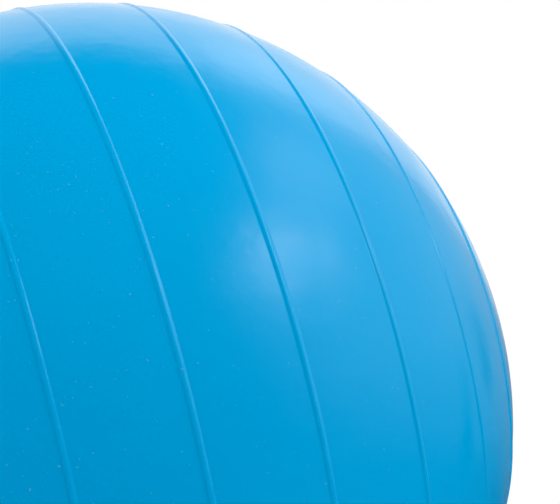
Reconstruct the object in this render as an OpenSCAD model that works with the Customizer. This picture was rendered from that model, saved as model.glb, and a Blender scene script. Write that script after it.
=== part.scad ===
// Inflatable exercise ball: one air-tight ribbed skin, a filling seat and a push-in plug.
// The ball stands at Z = 0 on the flat patch that its weight presses on the floor.
// The axis of its rings is level along X, and the filling valve is at the -X pole.

/* [Ball] */
// Diameter of the inflated ball, over the skin between the rings
ball_d = 650; // [450:10:850]
// Thickness of the inflated skin
skin_t = 0.9; // [0.7:0.1:2.5]
// Diameter of the flat patch that the ball stands on
patch_d = 78; // [40:2:120]

/* [Rings] */
// Angle between neighbouring rings, seen from the middle of the ball
ring_step = 14; // [9:1:20]
// Width of a ring where it rises from the skin
ring_w = 5; // [4:0.5:10]
// Height of a ring above the skin
ring_h = 1; // [0.5:0.1:1.5]
// Radius about each pole that is left without rings
clear_r = 90; // [60:5:130]

/* [Valve seat] */
// Diameter of the filling bore
bore_d = 9; // [7:0.5:13]
// Wall of the neck round the bore
neck_wall = 3; // [2:0.5:5]
// Length of the neck below the flange
neck_l = 13; // [10:1:25]
// Diameter of the flange that is bonded in the boss
flange_d = 30; // [28:1:44]
// Thickness of the flange
flange_t = 1.6; // [1:0.2:3]

/* [Valve boss] */
// Thickness of the skin under the flange
boss_floor_t = 2; // [1:0.5:5]
// Width of thick skin round the flange
boss_rim_w = 7; // [4:1:16]
// Width over which the boss thins down to the skin
boss_taper_w = 8; // [4:1:20]

/* [Plug] */
// Diameter of the plug's head
head_d = 20; // [18:1:24]
// Thickness of the plug's head
head_t = 1.8; // [1:0.2:3]
// Length of the plug's stem below its head
stem_l = 22; // [16:1:30]
// Wall of the hollow stem
stem_wall = 1.4; // [1:0.2:2]
// Number of grip rings on the stem
grip_rings = 3; // [1:1:4]
// Height of a grip ring above the stem
grip_h = 0.6; // [0.3:0.1:1]

/* [Fits] */
// Gap all round between the grip rings and the bore
plug_gap = 0.1; // [0.05:0.05:0.3]
// Gap under the plug's head when it is pushed home
head_gap = 0.2; // [0.1:0.1:0.5]
// Depth of the plug's head below the skin
head_sink = 0.3; // [0.1:0.1:1]
// Gap all round the seat, which the bond fills
bond_gap = 0.05; // [0.05:0.05:0.2]

/* [Hidden] */
$fn = 144;

// The ball: its middle is lower than its radius by the dish that the floor presses flat.
ball_r = ball_d / 2;
middle_z = sqrt(pow(ball_r, 2) - pow(patch_d / 2, 2));

// The rings: each is an arc of ring_arc_r that crosses the skin ring_w apart.
ring_arc_r = (pow(ring_w / 2, 2) + pow(ring_h, 2)) / (2 * ring_h);
rings_each_side = floor((90 - asin(clear_r / ball_r)) / ring_step);

// Half the length of ring i that the floor presses flat.
function pressed_half(i) = sqrt(max(0, pow((ball_r + ring_h) * cos(i * ring_step), 2) - pow(middle_z, 2)));

// Heights along the valve's axis, from the middle of the ball outward.
head_top = ball_r - head_sink;
head_foot = head_top - head_t;
flange_top = head_foot - head_gap;
flange_foot = flange_top - flange_t;
boss_foot = flange_foot - boss_floor_t;
neck_foot = flange_foot - neck_l;

// Radii about the valve's axis.
bore_r = bore_d / 2;
neck_r = bore_r + neck_wall;
flange_r = flange_d / 2;
boss_r = flange_r + boss_rim_w;
boss_edge_r = boss_r + boss_taper_w;
grip_r = bore_r - plug_gap;
stem_r = grip_r - grip_h;
mouth_chamfer = 0.6;
mouth_flare = 1;
// How far a cutting tool runs past the surface that it cuts.
overcut = 1;

// The plug's stem: grip rings on its upper part, then a plain tip that finds the bore.
tip_share = 0.35;
tip_taper = 0.6;
tip_l = stem_l * tip_share;
tip_r = stem_r - tip_taper;
hollow_r = stem_r - stem_wall;
web_t = 1.5;
grip_pitch = (stem_l - tip_l) / grip_rings;
// A grip ring rises to its crest over this much of the pitch, and falls back by this much.
crest_from = 0.6;
crest_to = 0.7;
fall_to = 0.8;
head_bevel = 0.7;
crown_r = 60;
dimple_r = 3;
dimple_depth = 0.5;

// Everything drawn round +Z at the middle of the ball is turned so that +Z points to the valve.
module on_valve_axis() {
    translate([0, 0, middle_z])
        rotate([0, -90, 0])
            children();
}

// Half of a disc, on the side that rotate_extrude() turns.
module half_disc(r) {
    intersection() {
        circle(r = r);
        translate([0, -2 * r])
            square([2 * r, 4 * r]);
    }
}

module ring_section(i) {
    rotate(i * ring_step)
        translate([ball_r + ring_h - ring_arc_r, 0])
            circle(r = ring_arc_r);
}

// A ring that would reach the floor stops on each side of the spot where it is pressed flat.
module pressed_ring(i) {
    difference() {
        on_valve_axis()
            rotate_extrude()
                ring_section(i);
        translate([-ball_d, -pressed_half(i), -ball_r])
            cube([2 * ball_d, 2 * pressed_half(i), ball_d]);
    }
}

// Everything above a level floor.
module above(floor_z) {
    translate([-ball_d, -ball_d, floor_z])
        cube([2 * ball_d, 2 * ball_d, 2 * ball_d]);
}

module outside() {
    on_valve_axis()
        rotate_extrude()
            union() {
                half_disc(ball_r);
                for (i = [-rings_each_side : rings_each_side])
                    if (pressed_half(i) == 0)
                        ring_section(i);
            }
    for (i = [-rings_each_side : rings_each_side])
        if (pressed_half(i) > 0)
            pressed_ring(i);
}

// The air space: it stays one skin thick above the flat patch, and clears the boss.
module air_space() {
    skin_y = sqrt(pow(ball_r - skin_t, 2) - pow(boss_edge_r, 2));
    on_valve_axis()
        rotate_extrude()
            difference() {
                half_disc(ball_r - skin_t);
                polygon([[0, boss_foot], [boss_r, boss_foot], [boss_edge_r, skin_y],
                         [boss_edge_r, ball_r], [0, ball_r]]);
            }
}

module flange_recess() {
    r = flange_r + bond_gap;
    mouth_y = sqrt(pow(ball_r, 2) - pow(r + mouth_chamfer, 2));
    on_valve_axis()
        rotate_extrude()
            polygon([[0, flange_foot], [r, flange_foot], [r, mouth_y - mouth_chamfer],
                     [r + mouth_chamfer, mouth_y], [r + mouth_chamfer, ball_r + overcut],
                     [0, ball_r + overcut]]);
}

module neck_hole() {
    on_valve_axis()
        translate([0, 0, boss_foot - overcut])
            cylinder(r = neck_r + bond_gap, h = boss_floor_t + 2 * overcut);
}

module ball_shell() {
    color([0, 0.63, 0.86])
        difference() {
            intersection() {
                outside();
                above(0);
            }
            intersection() {
                air_space();
                above(skin_t);
            }
            flange_recess();
            neck_hole();
        }
}

module valve_seat() {
    color([0, 0.5, 0.74])
        on_valve_axis()
            rotate_extrude()
                polygon([[bore_r, neck_foot], [neck_r - mouth_chamfer, neck_foot],
                         [neck_r, neck_foot + mouth_chamfer], [neck_r, flange_foot],
                         [flange_r, flange_foot], [flange_r, flange_top],
                         [bore_r + mouth_flare, flange_top], [bore_r, flange_top - mouth_flare]]);
}

// The outline of the stem runs from the tip up to the head, one tooth for each grip ring.
function stem_outline() = concat(
    [[hollow_r, head_foot - stem_l], [tip_r, head_foot - stem_l],
     [stem_r, head_foot - stem_l + tip_l / 2]],
    [for (i = [0 : grip_rings - 1])
        let (y = head_foot - stem_l + tip_l + i * grip_pitch)
            each [[stem_r, y], [grip_r, y + grip_pitch * crest_from],
                  [grip_r, y + grip_pitch * crest_to], [stem_r, y + grip_pitch * fall_to]]],
    [[stem_r, head_foot], [0, head_foot], [0, head_foot - web_t], [hollow_r, head_foot - web_t]]);

module plug_head() {
    head_r = head_d / 2;
    intersection() {
        polygon([[0, head_foot], [head_r - head_bevel, head_foot], [head_r, head_foot + head_bevel],
                 [head_r, head_top], [0, head_top]]);
        translate([0, head_top - crown_r])
            half_disc(crown_r);
    }
}

module valve_plug() {
    color("white")
        on_valve_axis()
            rotate_extrude()
                difference() {
                    union() {
                        plug_head();
                        polygon(stem_outline());
                    }
                    translate([0, head_top - dimple_depth])
                        square([dimple_r, 2 * dimple_depth]);
                }
}

ball_shell();
valve_seat();
valve_plug();
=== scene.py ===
import math

import bpy
from mathutils import Matrix, Vector, noise


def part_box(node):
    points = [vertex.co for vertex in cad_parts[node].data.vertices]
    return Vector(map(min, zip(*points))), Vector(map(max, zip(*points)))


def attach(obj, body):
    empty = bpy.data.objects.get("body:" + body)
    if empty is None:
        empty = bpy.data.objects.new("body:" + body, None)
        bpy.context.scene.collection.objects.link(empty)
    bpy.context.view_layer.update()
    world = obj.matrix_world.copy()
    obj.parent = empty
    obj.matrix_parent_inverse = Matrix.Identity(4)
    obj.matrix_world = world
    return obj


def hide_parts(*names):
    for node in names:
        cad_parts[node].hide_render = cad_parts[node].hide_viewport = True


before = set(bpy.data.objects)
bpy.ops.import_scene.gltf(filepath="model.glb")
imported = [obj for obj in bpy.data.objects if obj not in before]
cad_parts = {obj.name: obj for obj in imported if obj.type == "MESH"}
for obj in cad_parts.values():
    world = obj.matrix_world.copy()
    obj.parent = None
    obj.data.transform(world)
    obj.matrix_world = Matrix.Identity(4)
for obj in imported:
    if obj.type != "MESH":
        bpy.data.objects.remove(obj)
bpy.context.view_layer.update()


# The ball's skin is one hollow moulding of soft glossy PVC, about a millimetre thick when
# it is blown up. Its raised rings come out of the mould with it, and so does the thick
# boss at one pole that takes the filling seat. The floor presses a flat patch under it.
MM = 0.001
skin_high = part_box("ball_shell")[1]
ball_r = skin_high.x
ring_h = 1.0 * MM
middle_z = skin_high.z - ball_r - ring_h
skin_t = 0.9 * MM
ring_w = 5.0 * MM
ring_arc_r = ((ring_w / 2) ** 2 + ring_h ** 2) / (2 * ring_h)
ring_foot = 0.28 * MM
ring_half = 3.2 * MM / ball_r
ring_step = math.radians(14)
rings_each_side = 5
ROUND_STEPS = 288
RING_ROWS = 16
MOUTH_ROWS = 20
INSIDE_ROWS = 20
plain_step = math.radians(2.4)
sharp_angle = math.radians(50)


def along(height, radius, angle):
    """A point at this height up the valve's axis, which leaves the ball's middle towards -X."""
    return Vector((-height, radius * math.cos(angle), middle_z + radius * math.sin(angle)))


def turned(name, outline, steps=ROUND_STEPS, wave=None, closed=False):
    """A mesh turned round the valve's axis from an outline of (height, radius) points."""
    verts, rows, faces = [], [], []
    for height, radius in outline:
        count = 1 if radius < 1e-7 else steps
        rows.append((len(verts), count))
        verts += [along(height, radius, math.tau * i / count) for i in range(count)]
    if wave:
        verts = [wave(v) for v in verts]
    pairs = list(zip(rows, rows[1:] + rows[:1] if closed else rows[1:]))
    for (a, a_count), (b, b_count) in pairs:
        for i in range(steps):
            j = (i + 1) % steps
            corners = [a + i % a_count, a + j % a_count, b + j % b_count, b + i % b_count]
            faces.append(list(dict.fromkeys(corners)))
    mesh = bpy.data.meshes.new(name)
    mesh.from_pydata(verts, [], faces)
    mesh.validate()
    mesh.shade_smooth()
    mesh.set_sharp_from_angle(angle=sharp_angle)
    piece = bpy.data.objects.new(name, mesh)
    bpy.context.scene.collection.objects.link(piece)
    return piece


def filleted(corners, steps=5):
    """Rounds the corners of an outline. Each corner is (height, radius, fillet)."""
    out = []
    for k, (h, r, fillet) in enumerate(corners):
        here = Vector((h, r))
        if fillet <= 0 or k in (0, len(corners) - 1):
            out.append(here)
            continue
        back = (Vector(corners[k - 1][:2]) - here).normalized()
        on = (Vector(corners[k + 1][:2]) - here).normalized()
        half = back.angle(on) / 2
        reach = fillet / math.tan(half)
        centre = here + (back + on).normalized() * fillet / math.sin(half)
        first, last = here + back * reach - centre, here + on * reach - centre
        out += [centre + fillet * first.slerp(last, i / steps).normalized() for i in range(steps + 1)]
    return [tuple(p) for p in out]


def eased(height, bend):
    """The height where it is above nothing, and nothing below, with a soft bend between."""
    if height >= bend:
        return height
    return max(0.0, height + bend) ** 2 / (4 * bend)


def ring_rise(latitude):
    """How far the skin stands up at this latitude: a low round ring with a fillet at each foot."""
    bead = (ball_r * math.cos(latitude) - boss_r) / bead_half
    if latitude > 0 and abs(bead) < 1:
        return bead_h * (1 - bead * bead) ** 2
    ring = round(latitude / ring_step)
    off = (latitude - ring * ring_step) * ball_r
    if abs(ring) > rings_each_side or abs(off) > ring_half * ball_r:
        return 0.0
    return eased(math.sqrt(ring_arc_r ** 2 - off ** 2) - ring_arc_r + ring_h, ring_foot)


def latitudes(first, last):
    """Latitudes from first to last, close together over a ring and wide apart between rings."""
    stops = [first]
    for ring in range(-rings_each_side, rings_each_side + 1):
        for side in (-ring_half, ring_half):
            if first < ring * ring_step + side < last:
                stops.append(ring * ring_step + side)
    stops.append(last)
    found = []
    for low, high in zip(stops, stops[1:]):
        steps = RING_ROWS if high - low < 2.1 * ring_half else math.ceil((high - low) / plain_step)
        found += [low + (high - low) * i / steps for i in range(steps)]
    return found + [last]


seat_low, seat_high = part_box("valve_seat")
flange_r = (seat_high.y - seat_low.y) / 2
flange_top = -seat_low.x
flange_t = 1.6 * MM
flange_foot = flange_top - flange_t
boss_floor_t = 2 * MM
boss_foot = flange_foot - boss_floor_t
neck_r = 7.5 * MM
bond_gap = 0.05 * MM
recess_r = flange_r + bond_gap
boss_rim_w = 7 * MM
boss_r = flange_r + boss_rim_w
boss_taper_w = 8 * MM
boss_edge_r = boss_r + boss_taper_w
mouth_round = 0.8 * MM

bead_h = 0.25 * MM
bead_half = 1.6 * MM
bead_reach = 1.8 * MM
bead_latitude = math.acos((boss_r + bead_reach) / ball_r)
mouth_latitude = math.acos((recess_r + mouth_round) / ball_r)
mouth_h = ball_r * math.sin(mouth_latitude)
inner_r = ball_r - skin_t
inner_edge = math.acos(boss_edge_r / inner_r)

outside = [
    ((ball_r + ring_rise(t)) * math.sin(t), (ball_r + ring_rise(t)) * math.cos(t))
    for t in latitudes(-math.pi / 2, bead_latitude)
    + [bead_latitude + (mouth_latitude - bead_latitude) * i / MOUTH_ROWS
       for i in range(1, MOUTH_ROWS + 1)]
]
recess = filleted([
    (mouth_h, recess_r + mouth_round, 0),
    (mouth_h + 0.02 * MM, recess_r, mouth_round * 0.7),
    (flange_foot, recess_r, 0.3 * MM),
    (flange_foot, neck_r + bond_gap, 0.2 * MM),
    (boss_foot, neck_r + bond_gap, 0.4 * MM),
    (boss_foot, boss_r, 3 * MM),
    (inner_r * math.sin(inner_edge), boss_edge_r, 0),
])
inside = [
    (inner_r * math.sin(t), inner_r * math.cos(t))
    for t in [inner_edge - (inner_edge + math.pi / 2) * i / INSIDE_ROWS
              for i in range(1, INSIDE_ROWS + 1)]
]
outside[0] = (-ball_r, 0.0)
inside[-1] = (-inner_r, 0.0)

swell_h = 0.22 * MM
swell_rate = 9
dent_h = 0.06 * MM
dent_rate = 31
dent_shift = Vector((7, 3, 5))
calm_w = 40 * MM
floor_bend = 0.5 * MM


def pressed(v):
    """Gives the skin its slight unevenness, and presses it flat where it would pass the floor."""
    middle = Vector((0, 0, middle_z))
    out = v - middle
    inner = out.length < ball_r - skin_t / 2
    near_valve = min(1.0, max(0.0, (math.hypot(v.y, v.z - middle_z) - boss_edge_r) / calm_w))
    calm = near_valve if v.x < 0 else 1.0
    swell = swell_h * noise.noise(out * swell_rate)
    dent = dent_h * noise.noise(out * dent_rate + dent_shift)
    v = v + out.normalized() * (swell + dent) * calm
    floor_z = skin_t if inner else 0.0
    v.z = floor_z + eased(v.z - floor_z, floor_bend)
    return v


skin = turned("skin", outside + recess[1:] + inside, wave=pressed)


def adder(tree):
    """Gives a function that adds a node to a tree, sets it up and wires its inputs."""

    def add(kind, inputs=None, **settings):
        node = tree.nodes.new(kind)
        for key, value in settings.items():
            setattr(node, key, value)
        for key, value in (inputs or {}).items():
            if isinstance(value, bpy.types.NodeSocket):
                tree.links.new(value, node.inputs[key])
            else:
                node.inputs[key].default_value = value
        return node

    return add


def node_tree(name):
    """A new material, its nodes, its shader, and the function that adds nodes to it."""
    made = bpy.data.materials.new(name)
    made.use_nodes = True
    tree = made.node_tree
    return made, tree, tree.nodes["Principled BSDF"], adder(tree)


skin_pvc, tree, shader, add = node_tree("skin_pvc")
place = add("ShaderNodeTexCoord").outputs["Object"]
cloud = add("ShaderNodeTexNoise", {"Vector": place, "Scale": 7.0, "Detail": 4.0, "Roughness": 0.55})
tone = add("ShaderNodeMixRGB", {"Fac": cloud.outputs["Fac"],
                                "Color1": (0.0, 0.36, 0.745, 1), "Color2": (0.0, 0.395, 0.785, 1)})
mottle = add("ShaderNodeTexNoise", {"Vector": place, "Scale": 24.0, "Detail": 6.0, "Roughness": 0.6})
sheen = add("ShaderNodeMapRange", {"Value": mottle.outputs["Fac"], "From Min": 0.35, "From Max": 0.68,
                                   "To Min": 0.09, "To Max": 0.21})
grain = add("ShaderNodeTexNoise", {"Vector": place, "Scale": 650.0, "Detail": 3.0})
finish = add("ShaderNodeMath", {0: grain.outputs["Fac"], 1: 0.06, 2: sheen.outputs["Result"]},
             operation="MULTIPLY_ADD")
ripple = add("ShaderNodeTexNoise", {"Vector": place, "Scale": 38.0, "Detail": 3.0, "Roughness": 0.5})
bump = add("ShaderNodeBump", {"Height": ripple.outputs["Fac"], "Strength": 1.0, "Distance": 0.0005})
speck = add("ShaderNodeTexNoise", {"Vector": place, "Scale": 420.0, "Detail": 1.0})
dust = add("ShaderNodeMapRange", {"Value": speck.outputs["Fac"], "From Min": 0.73, "From Max": 0.82,
                                  "To Min": 0.0, "To Max": 0.12})
dusty = add("ShaderNodeMixRGB", {"Fac": dust.outputs["Result"], "Color1": tone.outputs["Color"],
                                 "Color2": (0.55, 0.6, 0.62, 1)})
tree.links.new(dusty.outputs["Color"], shader.inputs["Base Color"])
tree.links.new(finish.outputs["Value"], shader.inputs["Roughness"])
tree.links.new(bump.outputs["Normal"], shader.inputs["Normal"])
shader.inputs["IOR"].default_value = 1.5

skin.data.materials.append(skin_pvc)
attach(skin, "ball")
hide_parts("ball_shell")


# The filling seat is a stiffer PVC grommet welded into the boss: a flange that lies in the
# recess, and a neck that runs into the ball and holds the plug's grip rings.
bore_r = 4.5 * MM
mouth_flare = 1 * MM
neck_foot = -seat_high.x
VALVE_STEPS = 128
groove_depth = 0.25 * MM
groove_outer, groove_outer_foot = 13.2 * MM, 12.9 * MM
groove_inner, groove_inner_foot = 12.0 * MM, 12.3 * MM
seat_outline = filleted([
    (flange_foot, neck_r, 0),
    (flange_foot, flange_r, 0.25 * MM),
    (flange_top, flange_r, 0.45 * MM),
    (flange_top, groove_outer, 0.2 * MM),
    (flange_top - groove_depth, groove_outer_foot, 0.12 * MM),
    (flange_top - groove_depth, groove_inner_foot, 0.12 * MM),
    (flange_top, groove_inner, 0.2 * MM),
    (flange_top, bore_r + mouth_flare, 0.3 * MM),
    (flange_top - mouth_flare, bore_r, 0.3 * MM),
    (neck_foot, bore_r, 0.4 * MM),
    (neck_foot, neck_r, 0.6 * MM),
    (flange_foot - 0.3 * MM, neck_r, 0),
])
seat = turned("filling_seat", seat_outline, steps=VALVE_STEPS, closed=True)

seat_pvc, tree, shader, add = node_tree("seat_pvc")
place = add("ShaderNodeTexCoord").outputs["Object"]
cloud = add("ShaderNodeTexNoise", {"Vector": place, "Scale": 180.0, "Detail": 4.0})
tone = add("ShaderNodeMixRGB", {"Fac": cloud.outputs["Fac"],
                                "Color1": (0.0, 0.24, 0.55, 1), "Color2": (0.0, 0.29, 0.62, 1)})
sheen = add("ShaderNodeMapRange", {"Value": cloud.outputs["Fac"], "To Min": 0.34, "To Max": 0.5})
tree.links.new(tone.outputs["Color"], shader.inputs["Base Color"])
tree.links.new(sheen.outputs["Result"], shader.inputs["Roughness"])
seat.data.materials.append(seat_pvc)
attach(seat, "ball")
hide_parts("valve_seat")


# The plug is one off-white moulding: a low domed head with a moulding dimple and an
# undercut rim for a fingernail, and a hollow stem with three grip rings.
plug_low, plug_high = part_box("valve_plug")
head_r = (plug_high.y - plug_low.y) / 2
head_top = -plug_low.x
stem_foot = -plug_high.x
stem_l = 22 * MM
head_foot = stem_foot + stem_l
plug_gap = 0.1 * MM
grip_r = bore_r - plug_gap
grip_h = 0.6 * MM
stem_r = grip_r - grip_h
tip_l = 7.7 * MM
tip_taper = 0.6 * MM
tip_r = stem_r - tip_taper
tip_wall = 0.8 * MM
hollow_r = tip_r - tip_wall
grip_rings = 3
crest_from = 0.58
crest_to = 0.72
fall_to = 0.8
grip_pitch = (stem_l - tip_l) / grip_rings
web_t = 1.5 * MM
gate_r = 0.8 * MM
gate_foot_r = 1.1 * MM
dimple_r = 3 * MM
dimple_depth = 0.5 * MM
dimple_slope = 0.1 * MM
crown_drop = 0.7 * MM
head_bevel = 0.7 * MM
line_depth = 0.6 * MM
line_inner, line_inner_foot = 7.0 * MM, 7.3 * MM
line_outer, line_outer_foot = 8.1 * MM, 7.8 * MM

plug_corners = [
    (head_top - 0.3 * MM, 0, 0),
    (head_top - 0.32 * MM, gate_r, 0.15 * MM),
    (head_top - dimple_depth, gate_foot_r, 0.15 * MM),
    (head_top - dimple_depth, dimple_r, 0.2 * MM),
    (head_top - 0.08 * MM, dimple_r + dimple_slope, 0.15 * MM),
    (head_top - 0.34 * MM, line_inner, 0.2 * MM),
    (head_top - line_depth, line_inner_foot, 0.1 * MM),
    (head_top - line_depth, line_outer_foot, 0.1 * MM),
    (head_top - 0.42 * MM, line_outer, 0.2 * MM),
    (head_top - crown_drop, head_r, 0.3 * MM),
    (head_foot + head_bevel, head_r, 0.2 * MM),
    (head_foot, head_r - head_bevel, 0.2 * MM),
    (head_foot, stem_r, 0.5 * MM),
]
for grip in reversed(range(grip_rings)):
    foot = stem_foot + tip_l + grip * grip_pitch
    plug_corners += [
        (foot + grip_pitch * fall_to, stem_r, 0.15 * MM),
        (foot + grip_pitch * crest_to, grip_r, 0.12 * MM),
        (foot + grip_pitch * crest_from, grip_r, 0.2 * MM),
        (foot, stem_r, 0.3 * MM),
    ]
plug_corners += [
    (stem_foot + tip_l / 2, stem_r, 1 * MM),
    (stem_foot, tip_r, 0.3 * MM),
    (stem_foot, hollow_r, 0.2 * MM),
    (head_foot - web_t, hollow_r, 0.5 * MM),
    (head_foot - web_t, 0, 0),
]
plug = turned("plug", filleted(plug_corners, steps=4), steps=VALVE_STEPS)

plug_plastic, tree, shader, add = node_tree("plug_plastic")
place = add("ShaderNodeTexCoord").outputs["Object"]
cloud = add("ShaderNodeTexNoise", {"Vector": place, "Scale": 240.0, "Detail": 4.0})
tone = add("ShaderNodeMixRGB", {"Fac": cloud.outputs["Fac"],
                                "Color1": (0.78, 0.78, 0.75, 1), "Color2": (0.86, 0.86, 0.84, 1)})
sheen = add("ShaderNodeMapRange", {"Value": cloud.outputs["Fac"], "To Min": 0.3, "To Max": 0.45})
tree.links.new(tone.outputs["Color"], shader.inputs["Base Color"])
tree.links.new(sheen.outputs["Result"], shader.inputs["Roughness"])
plug.data.materials.append(plug_plastic)
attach(plug, "plug")
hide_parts("valve_plug")


# The stage: a pale floor under the ball that fades out all round, white surroundings, and
# large soft lights. None of it is part of the ball.
floor_r = 0.8
fade_from_r = 0.35
FLOOR_STEPS = 128
turns = [math.tau * i / FLOOR_STEPS for i in range(FLOOR_STEPS)]
floor_mesh = bpy.data.meshes.new("floor")
floor_mesh.from_pydata([(floor_r * math.cos(t), floor_r * math.sin(t), 0) for t in turns], [],
                       [list(range(FLOOR_STEPS))])
floor = bpy.data.objects.new("floor", floor_mesh)
bpy.context.scene.collection.objects.link(floor)
floor_white, tree, shader, add = node_tree("floor_white")
shader.inputs["Base Color"].default_value = (0.9, 0.9, 0.9, 1)
shader.inputs["Roughness"].default_value = 0.7
place = add("ShaderNodeTexCoord").outputs["Object"]
reach = add("ShaderNodeVectorMath", {0: place}, operation="LENGTH")
fade = add("ShaderNodeMapRange", {"Value": reach.outputs["Value"], "From Min": fade_from_r,
                                  "From Max": floor_r, "To Min": 1.0, "To Max": 0.0},
           interpolation_type="SMOOTHSTEP")
tree.links.new(fade.outputs["Result"], shader.inputs["Alpha"])
floor.data.materials.append(floor_white)
floor.visible_glossy = False

scene = bpy.context.scene
scene.view_settings.view_transform = "Standard"
world = bpy.data.worlds.new("studio")
scene.world = world
world.use_nodes = True
hang = adder(world.node_tree)


def sum_of(operation, *terms):
    """One step of arithmetic on numbers or on the results of other steps."""
    return hang("ShaderNodeMath", dict(enumerate(terms)), operation=operation).outputs[0]


def rise(value, low, high, top=1.0):
    """Rises softly from nothing at low to top at high."""
    ends = {"Value": value, "From Min": low, "From Max": high, "To Min": 0.0, "To Max": top}
    return hang("ShaderNodeMapRange", ends, interpolation_type="SMOOTHSTEP").outputs["Result"]


way = hang("ShaderNodeTexCoord").outputs["Generated"]
right, back, up = hang("ShaderNodeSeparateXYZ", {0: way}).outputs


def from_wall(middle):
    """Degrees round from a direction that lies this many degrees round from the front."""
    c, s = math.cos(math.radians(middle)), math.sin(math.radians(middle))
    ahead = sum_of("ADD", sum_of("MULTIPLY", right, s), sum_of("MULTIPLY", back, -c))
    aside = sum_of("ADD", sum_of("MULTIPLY", right, c), sum_of("MULTIPLY", back, s))
    return sum_of("DEGREES", sum_of("ARCTAN2", aside, ahead))


def patch(round_middle, round_reach, high_middle, high_reach, inner, outer, top):
    """A soft-edged oval of light on the studio's walls."""
    across = sum_of("DIVIDE", from_wall(round_middle), round_reach)
    over = sum_of("DIVIDE", sum_of("SUBTRACT", height, high_middle), high_reach)
    off = sum_of("SQRT", sum_of("ADD", sum_of("POWER", across, 2.0), sum_of("POWER", over, 2.0)))
    return sum_of("SUBTRACT", top, rise(off, inner, outer, top))


height = sum_of("DEGREES", sum_of("ARCSINE", up))
level = sum_of("MULTIPLY", rise(height, -24, -8), sum_of("ADD", 0.25, rise(height, -12, 5, 0.25)))
backdrop = sum_of("ADD", patch(190, 72, 34, 56, 0.9, 1.0, 0.5), patch(128, 20, 34, 16, 0.4, 1.0, 0.4))
stands = sum_of("ADD", patch(102, 2.5, -12, 13, 0.3, 1.0, 0.3), patch(118, 4, -6, 9, 0.3, 1.0, 0.35))
lean = sum_of("SUBTRACT", height, sum_of("MULTIPLY", from_wall(125), 0.1))
below_top = sum_of("SUBTRACT", 1.0, rise(lean, 43, 60))
wall = sum_of("MULTIPLY", sum_of("MULTIPLY", patch(125, 90, 22, 60, 0.75, 1.12, 1.0), below_top),
              sum_of("SUBTRACT", sum_of("ADD", level, backdrop), stands))
folds = hang("ShaderNodeTexNoise", {"Vector": way, "Scale": 5.0, "Detail": 3.0}).outputs["Fac"]
soft_box = sum_of("ADD", patch(84, 26, 37, 15, 0.3, 1.0, 0.65),
                  sum_of("MULTIPLY", patch(56, 29, 27, 18, 0.1, 1.0, 2.0), rise(folds, 0.25, 0.75, 1.6)))
reflected = sum_of("ADD", wall, soft_box)


def glow(colour):
    """Light of this colour from all round."""
    return hang("ShaderNodeBackground", {"Color": colour}).outputs["Background"]


seen = hang("ShaderNodeLightPath").outputs
lit = hang("ShaderNodeMixShader", {0: seen["Is Glossy Ray"], 1: glow((0.0, 0.0, 0.0, 1.0)),
                                   2: glow(reflected)})
shown = hang("ShaderNodeMixShader", {0: seen["Is Camera Ray"], 1: lit.outputs["Shader"],
                                     2: glow((1.0, 1.0, 1.0, 1.0))})
world.node_tree.links.new(shown.outputs["Shader"], world.node_tree.nodes["World Output"].inputs["Surface"])


def soft_light(name, source, spread, strength, colour):
    """A light that fills this many degrees of the room. The ball does not mirror it."""
    lamp = bpy.data.lights.new(name, "SUN")
    lamp.energy = strength
    lamp.color = colour
    lamp.angle = math.radians(spread)
    lamp.cycles.use_multiple_importance_sampling = False
    stand = bpy.data.objects.new(name, lamp)
    stand.rotation_mode = "QUATERNION"
    stand.rotation_quaternion = Vector(source).to_track_quat("Z", "Y")
    stand.visible_glossy = False
    scene.collection.objects.link(stand)


soft_light("overhead_light", (0.40, 0.0, 0.92), 175, 3.65, (1.0, 1.0, 0.98))
soft_light("low_light", (-0.42, 0.0, -0.91), 175, 1.5, (0.85, 0.92, 1.0))
soft_light("right_light", (0.93, -0.1, 0.35), 60, 0.6, (1.0, 1.0, 1.0))


# The camera stands close, a little above the ball's middle and to its left, and is turned
# a little on its own axis, so the level rings lean across the picture.
middle = Vector((0, 0, middle_z))
camera_place = middle + ball_r * Vector((-0.654, -3.758, 0.558))
heading, dip, roll = math.radians(-17.67), math.radians(-3.78), math.radians(-11.7)
camera = bpy.data.objects.new("camera", bpy.data.cameras.new("camera"))
camera.data.sensor_width = 36
camera.data.lens = 100.7
camera.location = camera_place
turn = Matrix.Rotation(heading, 4, "Z") @ Matrix.Rotation(math.pi / 2 + dip, 4, "X")
camera.rotation_mode = "QUATERNION"
camera.rotation_quaternion = (turn @ Matrix.Rotation(roll, 4, "Z")).to_quaternion()
scene.collection.objects.link(camera)
scene.camera = camera
